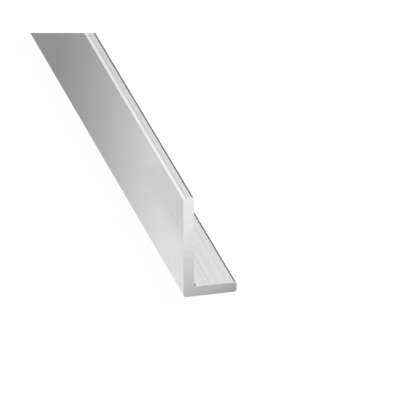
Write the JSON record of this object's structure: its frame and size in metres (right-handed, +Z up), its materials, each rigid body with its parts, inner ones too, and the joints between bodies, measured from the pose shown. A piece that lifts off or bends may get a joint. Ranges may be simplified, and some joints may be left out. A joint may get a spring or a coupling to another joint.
{
  "type": "unequal angle section",
  "caption": "Straight L-shaped extruded aluminium bar with one long and one short leg, sawn square at both ends, for edging, bracing, framing or joining panels.",
  "frame": {"origin": "bottom of the bar, at half of its width and half of its length", "axes": "+X across the bar from the heel to the toe of the short leg, +Y along the bar, +Z up along the long leg"},
  "size_m": [0.01, 1, 0.02],
  "materials": {
    "mill_aluminium": "mill finish: satin, with faint drawing lines along the bar and fine saw marks on its two ends"
  },
  "bodies": {
    "root": {"angle_section": "mill_aluminium"}
  },
  "joints": []
}
